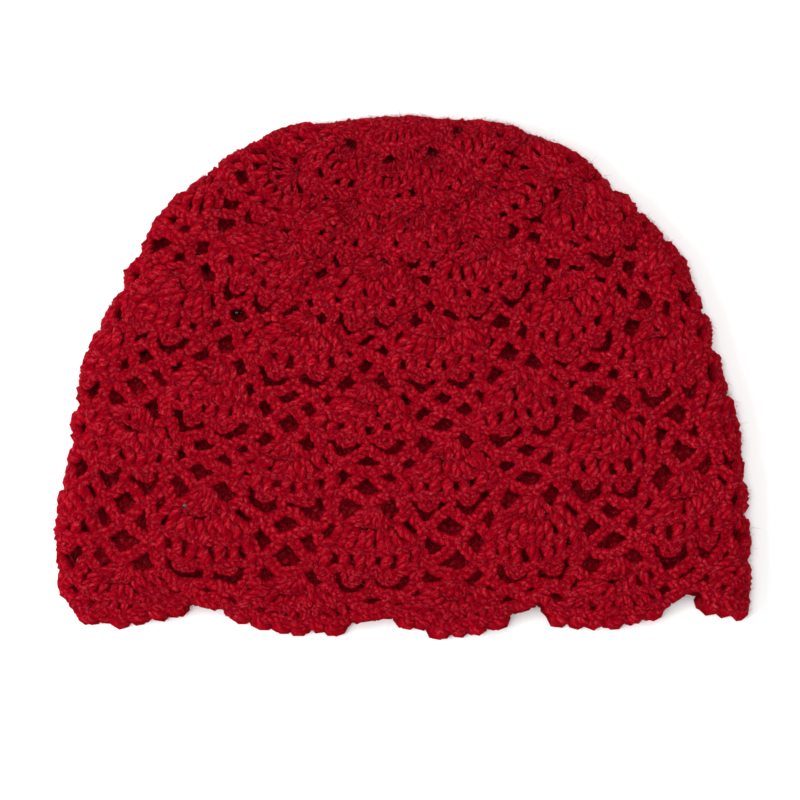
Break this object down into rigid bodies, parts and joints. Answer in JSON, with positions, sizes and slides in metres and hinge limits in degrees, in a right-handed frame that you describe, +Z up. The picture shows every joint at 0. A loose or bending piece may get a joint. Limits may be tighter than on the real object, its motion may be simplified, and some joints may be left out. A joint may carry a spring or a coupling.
{
  "type": "crochet cap",
  "caption": "Openwork crochet cap in a fan and net stitch, lying flat, with a round crown, a scalloped brim and a hollow for the head.",
  "frame": {"origin": "middle of the cap's box on the surface that it lies on", "axes": "+Z up from the surface, +Y towards the crown, -Y out of the open brim, +X to the right seen from above with the crown away from the viewer"},
  "size_m": [0.252, 0.1873, 0.0253],
  "materials": {
    "red_wool": "matte plied wool crochet, slightly fuzzy"
  },
  "bodies": {
    "root": {"crown_disc": "red_wool", "fan_net_body": "red_wool", "scallop_border": "red_wool"}
  },
  "joints": []
}
